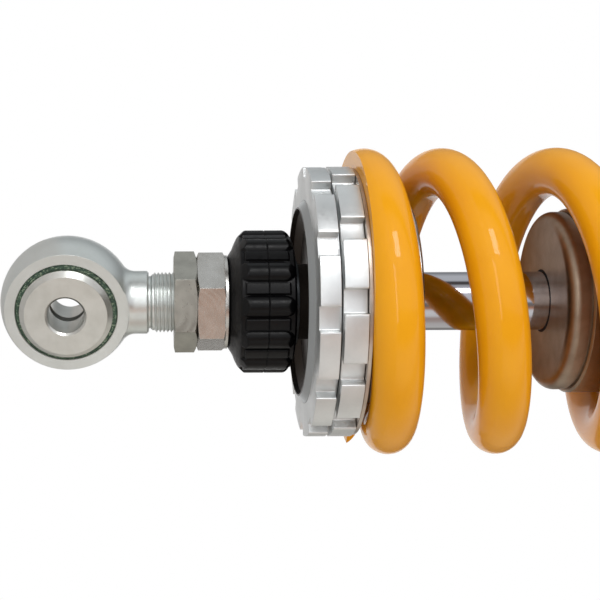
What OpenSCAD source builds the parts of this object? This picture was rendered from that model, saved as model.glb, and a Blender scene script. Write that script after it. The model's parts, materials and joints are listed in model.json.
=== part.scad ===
// Coil-over motorcycle shock absorber, drawn upright with +Z towards the upper eye.
// The origin is the centre of the upper eye's bore, and both eyes' bores run along Y.

/* [Eyes] */
// Wall of each ball-shaped eye round its bearing
eye_wall = 4.6; // [3.8:0.1:5.5]
// Width of an eye across its flat faces
eye_w = 15.4; // [14.6:0.1:16.4]
// Radius of the bore that holds the bearing
bearing_seat_r = 13.7; // [13:0.1:15.5]
// Width of the bearing's outer ring
race_w = 9; // [8:0.1:9.5]
// Thickness of that ring, from the ball to the eye
race_t = 3.2; // [3:0.1:4]
// Width of the ball across its flats
ball_w = 10; // [9.6:0.1:10.6]
// Diameter of the mounting bolt
bolt_d = 10; // [8:0.5:11]
// Width across both spacers, which is the space in the bracket on the motorcycle
mount_w = 20; // [18:0.5:24]
// Width of the green ring between a spacer's flange and the eye
seal_t = 1.2; // [1:0.05:1.6]
// Wall of the small part of a spacer, inside the ball
spacer_wall = 1.4; // [1.2:0.1:2]
// Chamfer at each end of the bolt's bore
bolt_chamfer = 0.6; // [0.3:0.05:1]
// Chamfer round the flange of a spacer
flange_chamfer = 1.4; // [0.8:0.1:1.6]

/* [Lower end] */
// Root radius of the thread on the stud
stud_r = 7.65; // [6.8:0.05:8.4]
// Height of the shoulder from the stud up to the lower eye's neck
neck_shoulder = 0.95; // [0.8:0.05:2]
// Length of the neck past the ball of the eye
neck_show = 3.8; // [3.4:0.1:7]
// Length of thread that shows between the neck and the nut
stud_show = 6.8; // [6:0.1:12]
// Width of the nut and of the hexagonal bracket across flats
hex_af = 24; // [23:0.5:26]
// Height of the lock nut
nut_h = 6.25; // [6:0.05:9]
// Height of the bracket's hexagon
bracket_hex_h = 7.75; // [7:0.05:10]
// Wall of the bracket's stem round the stud, on which the knob turns
stem_wall = 2.65; // [2.4:0.05:3.2]
// Length of the bracket's stem, from the collar to the sleeve's seat
stem_len = 22.7; // [22.2:0.1:26]

/* [Rebound knob] */
// Thickness of the knob from its bore to the top of a rib
knob_t = 9.2; // [8.4:0.1:10.5]
// Length of the knob
knob_len = 17.5; // [17:0.1:17.7]
// Number of ribs
knob_ribs = 12; // [8:1:14]
// Depth of the grooves between the ribs
knob_groove = 1.3; // [0.8:0.1:1.6]
// Thickness of the finger pads in the grooves
knob_pad = 0.55; // [0.3:0.05:0.7]
// Width of a rib
rib_w = 6.1; // [5:0.1:6.4]

/* [Spring preload] */
// Step from the damper tube out to the thread on the sleeve
sleeve_step = 2.6; // [2.5:0.1:3.5]
// Length of the sleeve
sleeve_len = 29; // [28:0.5:36]
// Distance from the sleeve's mouth to its floor
sleeve_skirt = 3.4; // [2.5:0.1:3.8]
// Thickness of the sleeve's floor
sleeve_floor = 4; // [3:0.1:6]
// Distance that both rings reach past the middle of the wire
ring_past_coil = 1.6; // [0.6:0.1:3]
// Number of hook notches round each ring
ring_notches = 12; // [6:1:14]
// Width of a hook notch
notch_w = 6.1; // [4:0.1:8]
// Depth of a hook notch
notch_depth = 2.8; // [2:0.1:4]
// Height of the lock ring
lock_ring_h = 5.8; // [5:0.1:6.5]
// Height of the ring that lifts the spring
preload_ring_h = 5.9; // [5:0.1:7.4]
// Distance that the steel washer reaches past the middle of the wire
washer_past_coil = 1.2; // [0.5:0.1:3]
// Thickness of that washer
washer_t = 0.9; // [0.8:0.1:1.5]

/* [Spring] */
// Radius of the wire
wire_r = 6.5; // [5.5:0.1:6.5]
// Gap between the coils and the sleeve inside them
spring_room = 0.9; // [0.6:0.1:3]
// Number of turns from tip to tip
spring_turns = 6.75; // [6:0.25:7.5]
// Rise of a closed end turn
closed_lead = 12.9; // [12.55:0.05:13.5]
// Distance from a ground end down to the wire's centre at the tip
tip_drop = 3.4; // [3.2:0.1:3.6]
// Distance from the upper eye's centre down to the upper spring seat
seat_drop = 58.7; // [54:0.1:66]

/* [Damper] */
// Bore of the damper tube
tube_bore_r = 23; // [20.5:0.1:25.5]
// Wall of the damper tube
tube_wall = 2; // [1.8:0.1:2.4]
// Length of the damper tube
tube_len = 134; // [130:0.5:140]
// Stroke of the damper
stroke = 50; // [40:1:50]
// Radius of the chromed shaft
shaft_r = 8; // [7.5:0.1:8.5]
// Length of shaft that shows at full extension, from the head to the sleeve's floor
shaft_show = 59.2; // [58:0.1:66]
// Step from the tube in to the head's rounded outside
head_step = 0.8; // [0.5:0.1:1.2]
// Height of the part of the head that shows
head_show = 5.8; // [5.2:0.1:8]
// Length of the part of the head inside the tube
head_plug = 15; // [14.5:0.1:18]
// Height of the main piston
piston_h = 12; // [11:0.5:15]
// Number of ports through the piston
piston_ports = 6; // [4:1:8]
// Height of the floating piston
floating_h = 12; // [11:0.5:14]
// Length of the gas space above the floating piston
gas_space = 12; // [11:0.5:14]
// Distance from the ball of the upper eye to the cap's flange
cap_neck_show = 3.7; // [3.4:0.1:7]
// Height of the cap's flange
cap_flange_h = 9; // [8.6:0.1:12]
// Length of the cap's plug inside the tube
cap_plug = 10; // [8:0.1:11]
// Height of the rubber bump stop
bump_h = 14.5; // [12:0.5:16]

/* [Hidden] */
$fn = 96;

// Clearances: a running fit, a thread without its ridges, loose faces, and a step used to cut clean through
run_fit = 0.05;
thread_fit = 0.08;
face_gap = 0.2;
loose = 0.3;
cut = 1;
edge = 0.5;

// Radii, from the bearing and the stud out to the coils
eye_r = bearing_seat_r + eye_wall;
ball_r = bearing_seat_r - race_t;
flange_r = bearing_seat_r - seal_t;
spacer_stem_r = bolt_d / 2 + spacer_wall;
neck_r = stud_r + neck_shoulder;
stem_r = stud_r + stem_wall;
knob_r = stem_r + knob_t;
tube_r = tube_bore_r + tube_wall;
head_r = tube_r - head_step;
sleeve_r = tube_r + sleeve_step;
coil_r = sleeve_r + spring_room + wire_r;
ring_r = coil_r + ring_past_coil;
washer_r = coil_r + washer_past_coil;

// Heights of the stack, counted down from the upper eye's centre
neck_reach = eye_r + neck_show;
cap_reach = eye_r + cap_neck_show;
z_flange_top = -cap_reach;
z_tube_top = z_flange_top - cap_flange_h;
z_plug_end = z_tube_top - cap_plug;
z_floating_top = z_plug_end - gas_space;
z_tube_end = z_tube_top - tube_len;
z_head_inner = z_tube_end + head_plug;
z_head_face = z_tube_end - head_show;
z_stem_top = z_head_face - shaft_show;
z_sleeve_seat = z_stem_top - sleeve_floor;
z_collar = z_sleeve_seat - stem_len;
collar_h = 0.4;
seat_shoulder = 0.8;
z_hex_top = z_collar - collar_h;
z_hex_end = z_hex_top - bracket_hex_h;
z_nut_end = z_hex_end - nut_h;
z_neck_end = z_nut_end - stud_show;
z_lower_eye = z_neck_end - neck_reach;
echo(eye_to_eye = -z_lower_eye);

// Heights of the preload parts
sleeve_bevel = 1.6;
z_sleeve_end = z_sleeve_seat - sleeve_skirt;
z_sleeve_top = z_sleeve_end + sleeve_len;
z_lock_ring = z_sleeve_end + sleeve_bevel;
z_preload_ring = z_lock_ring + lock_ring_h + face_gap;
z_washer = z_preload_ring + preload_ring_h + face_gap;
z_spring = z_washer + washer_t + run_fit;
z_seat = -seat_drop;
spring_len = z_seat - z_spring;
bore_lower_r = tube_r + loose;
bore_upper_r = tube_r + 2 * loose;

// Heights of the piston stack on the shaft
topout_h = 5.8;
topout_w = 5;
shim_stack_h = 1.5;
piston_nut_h = 8;
nut_clear = 2;
z_step = z_head_inner + face_gap + topout_h;
z_piston = z_step + shim_stack_h;
z_piston_top = z_piston + piston_h;
z_nut_seat = z_piston_top + shim_stack_h;
z_shaft_top = z_nut_seat + piston_nut_h + nut_clear;
tail_r = shaft_r - 3;

// Heights of the rebound adjuster
pin_r = 1.5;
pin_travel = 1;
pin_reach = 2.4;
pin_drop = 4;
rod_r = 2.2;
shaft_bore_r = 2.5;
socket_depth = 12;
z_socket = z_stem_top - socket_depth;
z_pin = z_socket - pin_drop;
slot_half = pin_r + pin_travel + face_gap;
z_stud_top = z_collar;
stud_travel = 5.5;
z_knob = z_collar + run_fit;
z_knob_top = z_knob + knob_len;
clip_t = 1;
z_clip = z_knob_top + face_gap;

// A tube, or a disc where the inner radius is 0, between two heights
module ring(r_out, r_in, z0, z1) {
    translate([0, 0, z0]) difference() {
        cylinder(r = r_out, h = z1 - z0);
        if (r_in > 0) translate([0, 0, -cut]) cylinder(r = r_in, h = z1 - z0 + 2 * cut);
    }
}

// The same with both outer edges chamfered
module chamfered_ring(r_out, r_in, z0, z1, c) {
    rotate_extrude() polygon([[r_in, z0], [r_out - c, z0], [r_out, z0 + c], [r_out, z1 - c],
        [r_out - c, z1], [r_in, z1]]);
}

// A ring of round wire
module wire_ring(mean_r, r, z) {
    rotate_extrude() translate([mean_r, z]) circle(r = r, $fn = 48);
}

// Turns a shape drawn along Z to lie along Y, on both sides of the eye
module both_sides() {
    for (side = [-1, 1]) rotate([-90 * side, 0, 0]) children();
}

// A hexagon from z0 up, with a flat face towards an angle, and both ends turned to a chamfer
module hex_body(af, z0, h, low, high, face_angle = 0) {
    corner_r = af / 2 / cos(30);
    past_r = corner_r + run_fit;
    turned_r = 1.05 * af / 2;
    steepness = 1.4;
    intersection() {
        translate([0, 0, z0]) rotate(face_angle + 30) cylinder(r = corner_r, h = h, $fn = 6);
        rotate_extrude() polygon([[0, z0], [turned_r - low, z0], [past_r, z0 + low * steepness],
            [past_r, z0 + h - high * steepness], [turned_r - high, z0 + h], [0, z0 + h]]);
    }
}

/* Eyes */

groove_w = 1;
groove_depth = 0.6;
circlip_w = 0.9;
seal_w = 1.9;
seal_bevel = 0.3;
ring_opening = 7;
flare_r = 4;
flare_steps = 8;
cap_neck_r = 12;
cap_fillet_r = 4.5;

// Where a fillet of flare_r touches the eye's ball and a neck
function flare_z(neck) = sqrt(pow(eye_r + flare_r, 2) - pow(neck + flare_r, 2));
flare_touch = eye_r / (eye_r + flare_r);

// Fillet from the ball round to the neck, as points on its circle
function flare_arc(neck, steps) = let (start = atan2(-flare_z(neck), -neck - flare_r))
    [for (i = [0:steps]) let (a = start - (180 + start) * i / steps)
        [neck + flare_r + flare_r * cos(a), flare_z(neck) + flare_r * sin(a)]];

// Outline from the ball out to a little past the end of the fillet
module flare_outline(neck) {
    polygon(concat([[0, flare_z(neck) * flare_touch]], flare_arc(neck, flare_steps),
        [[neck, flare_z(neck) + edge], [0, flare_z(neck) + edge]]));
}

// Ball with flat faces, bored for the bearing, with its circlip grooves and a chamfer at each face
module eye_ring() {
    half_w = eye_w / 2;
    rotate([90, 0, 0]) rotate_extrude() difference() {
        intersection() {
            circle(r = eye_r);
            translate([bearing_seat_r, -half_w]) square([eye_r, eye_w]);
        }
        for (side = [-1, 1]) {
            translate([bearing_seat_r, side * (race_w + groove_w) / 2])
                square([2 * groove_depth, groove_w], center = true);
            translate([bearing_seat_r, side * half_w]) rotate(45) square(face_gap * sqrt(2), center = true);
        }
    }
}

// What a shank loses where it meets the ball: the space inside the eye and beyond its flat faces
module eye_space() {
    face_r = sqrt(eye_r * eye_r - eye_w * eye_w / 4);
    rotate([90, 0, 0]) cylinder(r = (bearing_seat_r + eye_r) / 2, h = 3 * eye_r, center = true);
    both_sides() translate([0, 0, eye_w / 2]) cylinder(r = face_r + loose, h = eye_r);
}

module bearing_race() {
    rotate([90, 0, 0]) difference() {
        cylinder(r = bearing_seat_r, h = race_w, center = true);
        sphere(r = ball_r);
    }
}

module bearing_ball() {
    rotate([90, 0, 0]) rotate_extrude() intersection() {
        circle(r = ball_r - run_fit);
        translate([spacer_stem_r + run_fit, -ball_w / 2]) square([ball_r, ball_w]);
    }
}

module circlips() {
    inner_r = flange_r + loose;
    both_sides() translate([0, 0, race_w / 2 + (groove_w - circlip_w) / 2]) difference() {
        ring(bearing_seat_r + groove_depth - run_fit, inner_r, 0, circlip_w);
        translate([0, bearing_seat_r, 0]) cube([ring_opening, ring_opening, 4 * circlip_w], center = true);
    }
}

module eye_seals() {
    seal_z = race_w / 2 + groove_w + run_fit;
    both_sides() rotate_extrude() polygon([[flange_r + run_fit, seal_z], [bearing_seat_r, seal_z],
        [bearing_seat_r, seal_z + seal_w - seal_bevel], [bearing_seat_r - seal_bevel, seal_z + seal_w],
        [flange_r + run_fit, seal_z + seal_w]]);
}

// Two flanged spacers whose stems meet inside the ball
module spacers() {
    stem_gap = 1.4;
    bore = bolt_d / 2;
    flange_in = ball_w / 2;
    half_w = mount_w / 2;
    both_sides() rotate_extrude() polygon([[bore, stem_gap], [spacer_stem_r, stem_gap],
        [spacer_stem_r, flange_in], [flange_r, flange_in], [flange_r, half_w - flange_chamfer],
        [flange_r - flange_chamfer, half_w], [bore + bolt_chamfer, half_w],
        [bore, half_w - bolt_chamfer]]);
}

module upper_spacers() { color("#9C9E9C") spacers(); }
module upper_bearing_ball() { color("#8A8D90") bearing_ball(); }
module upper_bearing_race() { color("#77797C") bearing_race(); }
module upper_circlips() { color("#55585A") circlips(); }
module upper_seals() { color("#4E7A55") eye_seals(); }

module lower_spacers() { color("#9C9E9C") translate([0, 0, z_lower_eye]) spacers(); }
module lower_bearing_ball() { color("#8A8D90") translate([0, 0, z_lower_eye]) bearing_ball(); }
module lower_bearing_race() { color("#77797C") translate([0, 0, z_lower_eye]) bearing_race(); }
module lower_circlips() { color("#55585A") translate([0, 0, z_lower_eye]) circlips(); }
module lower_seals() { color("#4E7A55") translate([0, 0, z_lower_eye]) eye_seals(); }

// Eye with its neck, the shoulder and undercut, and the stud that screws into the bracket
module lower_eye() {
    undercut_r = stud_r - edge;
    stud_end = z_stud_top - z_lower_eye;
    color("#B4B6B5") translate([0, 0, z_lower_eye]) {
        eye_ring();
        difference() {
            rotate_extrude() {
                flare_outline(neck_r);
                polygon([[0, flare_z(neck_r)], [neck_r, flare_z(neck_r)], [neck_r, neck_reach - edge],
                    [neck_r - edge, neck_reach], [undercut_r, neck_reach], [undercut_r, neck_reach + edge],
                    [stud_r, neck_reach + 2 * edge], [stud_r, stud_end - 2 * edge],
                    [stud_r - 2 * edge, stud_end], [0, stud_end]]);
            }
            eye_space();
        }
    }
}

// Cap that screws into the tube, with the upper eye, the gas passage and the valve's hole
valve_r = 3;
valve_head_r = 4.6;
valve_head_h = 4.5;
valve_seat = tube_r - 13;
valve_neck_h = 1;
z_valve = (z_flange_top + z_tube_top) / 2;

module upper_eye() {
    fillet_end = cap_neck_r + cap_fillet_r;
    plug_r = tube_bore_r - run_fit;
    color("#B4B6B5") {
        eye_ring();
        difference() {
            mirror([0, 0, 1]) rotate_extrude() {
                flare_outline(cap_neck_r);
                difference() {
                    translate([0, flare_z(cap_neck_r)])
                        square([fillet_end, cap_reach - flare_z(cap_neck_r) + edge]);
                    translate([fillet_end, cap_reach - cap_fillet_r]) circle(r = cap_fillet_r);
                    translate([cap_neck_r, 0]) square([tube_r, cap_reach - cap_fillet_r]);
                }
                difference() {
                    polygon([[0, cap_reach], [tube_r - 2 * edge, cap_reach], [tube_r, cap_reach + 2 * edge],
                        [tube_r, -z_tube_top], [plug_r, -z_tube_top], [plug_r, -z_plug_end - edge],
                        [plug_r - edge, -z_plug_end], [0, -z_plug_end]]);
                    translate([o_ring_mean_r - o_ring_r - run_fit, -z_cap_ring - o_ring_r - run_fit])
                        square(2 * (o_ring_r + run_fit));
                }
            }
            eye_space();
            translate([valve_seat, 0, z_valve]) rotate([0, 90, 0]) cylinder(r = valve_r, h = tube_r);
            translate([0, 0, z_valve]) rotate([0, 90, 0]) cylinder(r = pin_r, h = valve_seat + cut);
            ring(pin_r, 0, z_plug_end - cut, z_valve);
        }
    }
}

// O-rings in the tube lie in grooves that are as deep as the ring is thick
o_ring_r = 1.2;
o_ring_mean_r = tube_bore_r - run_fit - o_ring_r;
z_cap_ring = (z_plug_end + z_tube_top) / 2;

module cap_o_ring() { color("#202022") wire_ring(o_ring_mean_r, o_ring_r, z_cap_ring); }

module gas_valve() {
    head_start = tube_r + run_fit;
    color("#B08D57") translate([0, 0, z_valve]) rotate([0, 90, 0]) {
        ring(valve_r, 0, valve_seat + run_fit, head_start + edge);
        translate([0, 0, head_start]) cylinder(r = valve_head_r, h = 2 * valve_head_h / 3, $fn = 6);
        chamfered_ring(valve_head_r - valve_neck_h, 0, head_start + valve_neck_h,
            head_start + valve_head_h, edge);
    }
}

/* Damper body */

snap_wire_r = 1.5;
seat_flange_h = 4;
seat_hub_h = 8;
seat_hub_r = tube_r + 4;
seat_hub_flare = 2;
seat_flange_r = coil_r + wire_r - 1;
seat_lip_r = coil_r - wire_r - loose;
seat_lip_h = 3;
z_snap_ring = z_seat + seat_hub_h;
snap_mean_r = tube_r + snap_wire_r / 3;
head_wire_r = 0.8;
z_head_wire = z_tube_end + head_plug / 6;
z_head_ring = z_head_inner - head_plug / 4;

// Damper tube, with a groove outside for the seat's wire ring and one inside for the head's
module cylinder_tube() {
    color("#8E8F8C") rotate_extrude() difference() {
        polygon([[tube_bore_r, z_tube_end], [tube_r - edge, z_tube_end], [tube_r, z_tube_end + edge],
            [tube_r, z_tube_top], [tube_bore_r, z_tube_top]]);
        translate([snap_mean_r, z_snap_ring]) circle(r = snap_wire_r, $fn = 48);
        translate([tube_bore_r, z_head_wire]) circle(r = head_wire_r, $fn = 48);
    }
}

// Collar that slips over the tube, centres the spring and rests on the wire ring
module upper_spring_seat() {
    color("#C8CAC8") rotate_extrude() difference() {
        polygon([[tube_r + run_fit, z_seat - seat_lip_h], [seat_lip_r - edge, z_seat - seat_lip_h],
            [seat_lip_r, z_seat - seat_lip_h + 2 * edge], [seat_lip_r, z_seat],
            [seat_flange_r - edge, z_seat], [seat_flange_r, z_seat + edge],
            [seat_flange_r, z_seat + seat_flange_h - edge], [seat_flange_r - edge, z_seat + seat_flange_h],
            [seat_hub_r + seat_hub_flare, z_seat + seat_flange_h],
            [seat_hub_r, z_seat + seat_flange_h + seat_hub_flare],
            [seat_hub_r, z_seat + seat_hub_h], [tube_r + run_fit, z_seat + seat_hub_h]]);
        translate([snap_mean_r, z_snap_ring]) circle(r = snap_wire_r, $fn = 48);
    }
}

module seat_snap_ring() {
    color("#6E7274") difference() {
        wire_ring(snap_mean_r, snap_wire_r - run_fit, z_snap_ring);
        translate([0, tube_r, z_snap_ring]) cube(ring_opening, center = true);
    }
}

// Seal head: rounded cap outside the tube, and a plug inside it that carries bush, seal and wiper
wiper_r = shaft_r + 3.4;
wiper_h = 3.6;
wiper_gap = 0.6;
head_lip = 0.8;
z_wiper = z_head_face + head_lip;
seal_r = shaft_r + 4.5;
seal_h = 5;
seal_slot = 1.4;
bush_t = 1.5;
bush_h = 9;
z_seal = z_wiper + wiper_h + head_lip;
z_bush = z_head_inner - head_lip - bush_h;

module cylinder_head() {
    round_r = 2.8;
    neck_h = 0.8;
    color("#6B5B50") difference() {
        rotate_extrude() difference() {
            union() {
                translate([0, z_head_face]) square([head_r - round_r, round_r]);
                translate([head_r - round_r, z_head_face + round_r]) circle(r = round_r);
                translate([0, z_head_face + round_r]) square([head_r, head_show - round_r - neck_h]);
                translate([0, z_tube_end - cut]) square([head_r - edge, cut]);
                polygon([[0, z_tube_end - cut / 2], [tube_bore_r - run_fit, z_tube_end - cut / 2],
                    [tube_bore_r - run_fit, z_head_inner - edge], [tube_bore_r - 2 * edge, z_head_inner],
                    [0, z_head_inner]]);
            }
            translate([tube_bore_r, z_head_wire]) circle(r = head_wire_r, $fn = 48);
            translate([o_ring_mean_r - o_ring_r - run_fit, z_head_ring - o_ring_r - run_fit])
                square(2 * (o_ring_r + run_fit));
        }
        ring(shaft_r + 2 * loose, 0, z_head_face - cut, z_head_inner + cut);
        ring(shaft_r + wiper_gap, 0, z_head_face - cut, z_wiper + cut);
        ring(wiper_r, 0, z_wiper, z_wiper + wiper_h);
        ring(seal_r, 0, z_seal, z_seal + seal_h);
        ring(shaft_r + bush_t, 0, z_bush, z_bush + bush_h);
    }
}

// Rubber wiper in a groove behind the head's face, with a lip that fills the gap round the shaft
module shaft_wiper() {
    lip_r = shaft_r + wiper_gap - run_fit;
    z_lip = z_head_face + run_fit;
    color("#1E1E20") rotate_extrude() polygon([[shaft_r + run_fit, z_lip], [lip_r, z_lip],
        [lip_r, z_wiper + run_fit], [wiper_r - 2 * run_fit, z_wiper + run_fit],
        [wiper_r - 2 * run_fit, z_wiper + wiper_h], [shaft_r + run_fit, z_wiper + wiper_h]]);
}

module shaft_seal() {
    color("#3A2E28") rotate_extrude() difference() {
        translate([shaft_r + run_fit, z_seal + run_fit])
            square([seal_r - shaft_r - 2 * run_fit, seal_h - 2 * run_fit]);
        translate([(shaft_r + seal_r - seal_slot) / 2, z_seal + seal_h - 1.5 * seal_slot])
            square([seal_slot, 2 * seal_slot]);
    }
}

module head_bush() {
    color("#8F7A4A")
        ring(shaft_r + bush_t - run_fit, shaft_r + run_fit, z_bush + run_fit, z_bush + bush_h - run_fit);
}

module head_o_ring() { color("#202022") wire_ring(o_ring_mean_r, o_ring_r, z_head_ring); }

module head_circlip() {
    color("#6E7274") difference() {
        wire_ring(tube_bore_r, head_wire_r - run_fit, z_head_wire);
        translate([0, tube_bore_r, z_head_wire]) cube(ring_opening, center = true);
    }
}

/* Floating piston */

z_floating_ring = z_floating_top - floating_h / 2;

module floating_piston() {
    piston_r = tube_bore_r - run_fit;
    hollow_r = 2 * piston_r / 3;
    z_hollow = z_floating_top - floating_h / 2;
    color("#B8BABC") rotate_extrude() difference() {
        polygon([[0, z_floating_top - floating_h], [piston_r - edge, z_floating_top - floating_h],
            [piston_r, z_floating_top - floating_h + edge], [piston_r, z_floating_top - edge],
            [piston_r - edge, z_floating_top], [hollow_r, z_floating_top], [hollow_r - 3 * edge, z_hollow],
            [0, z_hollow]]);
        translate([o_ring_mean_r - o_ring_r - run_fit, z_floating_ring - o_ring_r - run_fit])
            square(2 * (o_ring_r + run_fit));
    }
}

module floating_piston_o_ring() {
    color("#202022") wire_ring(o_ring_mean_r, o_ring_r, z_floating_ring);
}

/* Shaft and main piston */

orifice_r = 1.6;
needle_cone = 6;
z_needle = z_step - needle_cone;
z_orifice = z_shaft_top - needle_cone + edge;

module damper_shaft() {
    color("#D8DADC") difference() {
        rotate_extrude() polygon([[0, z_socket], [stem_socket_r - edge, z_socket],
            [stem_socket_r, z_socket + edge], [stem_socket_r, z_stem_top],
            [shaft_r, z_stem_top], [shaft_r, z_step], [tail_r, z_step],
            [tail_r, z_shaft_top - edge], [tail_r - edge, z_shaft_top], [0, z_shaft_top]]);
        ring(shaft_bore_r, 0, z_socket - cut, z_orifice);
        ring(orifice_r, 0, z_orifice - cut, z_shaft_top + cut);
    }
}

module topout_spacer() {
    color("#2A2A2C")
        chamfered_ring(shaft_r + topout_w, shaft_r + run_fit, z_step - topout_h, z_step, 2 * edge);
}

body_r = tube_bore_r - 2 * loose;
band_in_r = tube_bore_r - 1.6;
band_shoulder = 2;
band_opening = 0.8;
port_r = 2.4;
port_circle = (tail_r + body_r) / 2 - 0.2;

// Thin discs that grow towards the piston
module shim_stack(z_wide, towards) {
    shims = 5;
    shim_t = shim_stack_h / shims;
    widest_r = body_r - 3.4;
    for (i = [0:shims - 1]) {
        z = z_wide + towards * shim_t * (i + 0.5);
        ring(widest_r - i * (widest_r - port_circle + port_r) / shims, tail_r + run_fit, z - shim_t / 2,
            z + shim_t / 2);
    }
}

module rebound_shims() { color("#6F7377") shim_stack(z_piston, -1); }
module compression_shims() { color("#6F7377") shim_stack(z_piston_top, 1); }

module main_piston() {
    color("#B8BABC") difference() {
        chamfered_ring(body_r, tail_r + run_fit, z_piston, z_piston_top, edge);
        for (i = [0:piston_ports - 1]) rotate([0, 0, i * 360 / piston_ports])
            translate([port_circle, 0, z_piston - cut]) cylinder(r = port_r, h = piston_h + 2 * cut);
        ring(body_r + cut, band_in_r - run_fit, z_piston + band_shoulder - run_fit,
            z_piston_top - band_shoulder + run_fit);
    }
}

module piston_band() {
    color("#7C6A3C") difference() {
        ring(tube_bore_r - run_fit, band_in_r, z_piston + band_shoulder, z_piston_top - band_shoulder);
        translate([0, tube_bore_r, z_piston + piston_h / 2]) rotate([0, 30, 0])
            cube([band_opening, 4 * band_shoulder, 2 * piston_h], center = true);
    }
}

module piston_nut() {
    piston_nut_af = 2 * tail_r + 7;
    color("#8C8E90") difference() {
        hex_body(piston_nut_af, z_nut_seat, piston_nut_h, edge / 2, 2 * edge);
        ring(tail_r + run_fit, 0, z_nut_seat - cut, z_nut_seat + piston_nut_h + cut);
    }
}

/* Bump stop */

cup_t = 1.5;
cup_r = shaft_r + 12;
cup_h = 2.5;
lobe_start = 5;
z_bump = z_stem_top + cup_t;

module bump_stop_cup() {
    color("#8A8D90") rotate_extrude() polygon([[shaft_r + run_fit, z_stem_top], [cup_r, z_stem_top],
        [cup_r, z_stem_top + cup_h], [cup_r - cup_t, z_stem_top + cup_h], [cup_r - cup_t, z_bump],
        [shaft_r + run_fit, z_bump]]);
}

// Rubber bump stop with two rounded lobes
module bump_stop() {
    lobe_r = bump_h / 4;
    waist_r = shaft_r + lobe_start;
    color("#1C1C1E") rotate_extrude() {
        translate([shaft_r + face_gap, z_bump]) square([waist_r - shaft_r - face_gap, bump_h]);
        for (i = [0, 1]) translate([waist_r, z_bump + (2 * i + 1) * lobe_r]) circle(r = lobe_r);
    }
}

/* Spring-seat sleeve and its rings */

module spring_seat_sleeve() {
    seat_hole_r = stem_r - seat_shoulder + run_fit;
    thin_edge = 0.3;
    blend = 2;
    color("#3A3D3F") rotate_extrude() polygon([[bore_lower_r, z_sleeve_end],
        [bore_lower_r + thin_edge, z_sleeve_end], [sleeve_r, z_lock_ring],
        [sleeve_r, z_sleeve_top - edge], [sleeve_r - edge, z_sleeve_top],
        [bore_upper_r, z_sleeve_top], [bore_upper_r, z_stem_top + blend], [bore_upper_r - blend, z_stem_top],
        [seat_hole_r, z_stem_top], [seat_hole_r, z_sleeve_seat], [bore_lower_r - blend, z_sleeve_seat],
        [bore_lower_r, z_sleeve_seat - blend]]);
}

// Ring that is threaded on the sleeve, with notches round its edge for a hook spanner
module notched_ring(z0, h, first_notch) {
    floor_r = ring_r - notch_depth;
    difference() {
        chamfered_ring(ring_r, sleeve_r + thread_fit, z0, z0 + h, edge);
        for (i = [0:ring_notches - 1]) rotate([0, 0, first_notch + i * 360 / ring_notches])
            translate([floor_r, -notch_w / 2, z0 - cut]) cube([notch_depth + cut, notch_w, h + 2 * cut]);
    }
}

lock_ring_angle = 15;
preload_ring_angle = 8;
module preload_lock_ring() { color("#C8CAC8") notched_ring(z_lock_ring, lock_ring_h, lock_ring_angle); }
module preload_ring() { color("#C2C4C2") notched_ring(z_preload_ring, preload_ring_h, preload_ring_angle); }
module spring_washer() { color("#B0A090") ring(washer_r, sleeve_r + loose, z_washer, z_washer + washer_t); }

/* Bracket, knob and rebound adjuster */

stem_socket_r = shaft_r - 1;
clip_depth = 0.8;
clip_show = 1.6;
bracket_angle = -97;
nut_angle = -107.25;

// Hexagonal bracket: the stud screws in from below and the shaft from above
module shaft_bracket() {
    color("#9C9E9C") difference() {
        union() {
            hex_body(hex_af, z_hex_end, bracket_hex_h, 0.7 * edge, 1.2 * edge, bracket_angle);
            ring(hex_af / 2 + 2 * collar_h, 0, z_hex_top - edge, z_collar);
            ring(stem_r, 0, z_collar - edge, z_sleeve_seat);
            ring(stem_r - seat_shoulder, 0, z_sleeve_seat - edge, z_stem_top);
        }
        ring(stud_r + thread_fit, 0, z_hex_end - cut, z_stud_top + stud_travel + loose);
        ring(stem_socket_r + thread_fit, 0, z_socket - face_gap, z_stem_top + cut);
        ring(rod_r + loose, 0, z_pin - slot_half, z_stem_top);
        translate([-stem_r - cut, -pin_r - run_fit, z_pin - slot_half])
            cube([2 * stem_r + 2 * cut, 2 * (pin_r + run_fit), 2 * slot_half]);
        ring(stem_r + cut, stem_r - clip_depth, z_clip - run_fit, z_clip + clip_t + run_fit);
    }
}

module knob_circlip() {
    color("#55585A") difference() {
        ring(stem_r + clip_show, stem_r - clip_depth + run_fit, z_clip, z_clip + clip_t);
        translate([0, stem_r, z_clip]) cube([ring_opening, 4 * clip_show, 4 * clip_t], center = true);
    }
}

rib_low = 2.3;
rib_high = 0.4;
pad_w = 3.4;
pad_low = 4;
pad_high = 1.8;
first_rib = 12;
flare_h = 4.7;
// Flare at the knob's foot: shares of the knob's thickness and of the flare's height
knob_flare = [[0.2, 0], [0.43, 0.3], [0.63, 0.45], [0.8, 0.62], [1, 1]];

// Profile of the knob, drawn in by a depth that is 0 over the ribs: a flare, the side and a rounded end
module knob_profile(depth) {
    r = knob_r - depth;
    flare = [for (p = knob_flare) [min(r, stem_r + p.x * knob_t), z_knob + p.y * flare_h]];
    polygon(concat([[0, z_knob]], flare, [[r, z_knob + flare_h + 2 * edge], [r, z_knob_top - 4 * edge],
        [r - 2 * edge, z_knob_top - 2 * edge], [r - 5 * edge, z_knob_top], [0, z_knob_top]]));
}

// Outline of a rib: a slot shape of half-circles, drawn with z upwards from 0
function rib_outline(w, h) = [for (end = [0, 1]) for (a = [0:30:180])
    [w / 2 * cos(a + 180 * end), (end == 0 ? h - w / 2 : w / 2) + w / 2 * sin(a + 180 * end)]];

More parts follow.
